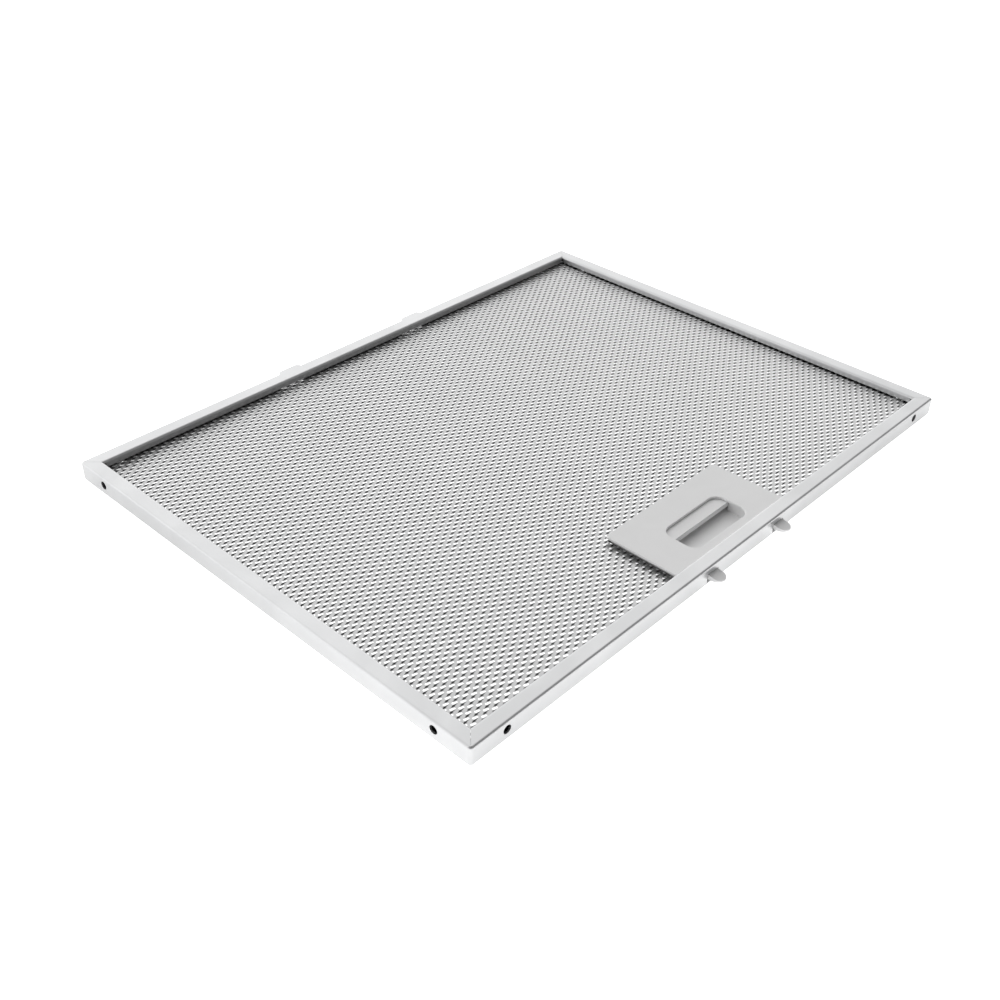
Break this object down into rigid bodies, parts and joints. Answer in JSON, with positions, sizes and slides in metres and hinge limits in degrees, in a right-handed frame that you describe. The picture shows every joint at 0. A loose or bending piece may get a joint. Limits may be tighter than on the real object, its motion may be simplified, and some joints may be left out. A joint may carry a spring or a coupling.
{
  "type": "cooker hood grease filter",
  "caption": "Flat rectangular cooker hood grease filter: folded aluminium frame round an expanded mesh pack, with a plastic finger latch on one long side and fixed tabs opposite.",
  "frame": {"origin": "middle of the underside of the whole part, with the latch tongues and tabs counted in", "axes": "+X along the long sides, +Y from the latch side to the tab side, +Z out of the handle face"},
  "size_m": [0.32, 0.2472, 0.0093],
  "materials": {
    "frame_aluminium": "satin mill finish",
    "mesh_aluminium": "bright expanded sheet",
    "foil_aluminium": "bright foil",
    "grey_plastic": "fine matte texture",
    "spring_steel": "drawn wire"
  },
  "bodies": {
    "filter": {"frame": "frame_aluminium", "front_mesh": "mesh_aluminium", "back_mesh": "mesh_aluminium", "foil_layer_1": "foil_aluminium", "foil_layer_2": "foil_aluminium", "foil_layer_3": "foil_aluminium", "foil_layer_4": "foil_aluminium", "handle_cover": "grey_plastic", "handle_housing": "grey_plastic", "latch_spring_left": "spring_steel", "latch_spring_right": "spring_steel"},
    "latch": {"latch_slider": "grey_plastic"}
  },
  "joints": [
    {"name": "latch_slide", "type": "slide", "parent": "filter", "child": "latch", "axis": [0, 1, 0], "range_m": [0, 0.0055], "stiffness_N_per_m": 300, "springref_m": -0.004, "deforming": ["latch_spring_left", "latch_spring_right"]}
  ]
}
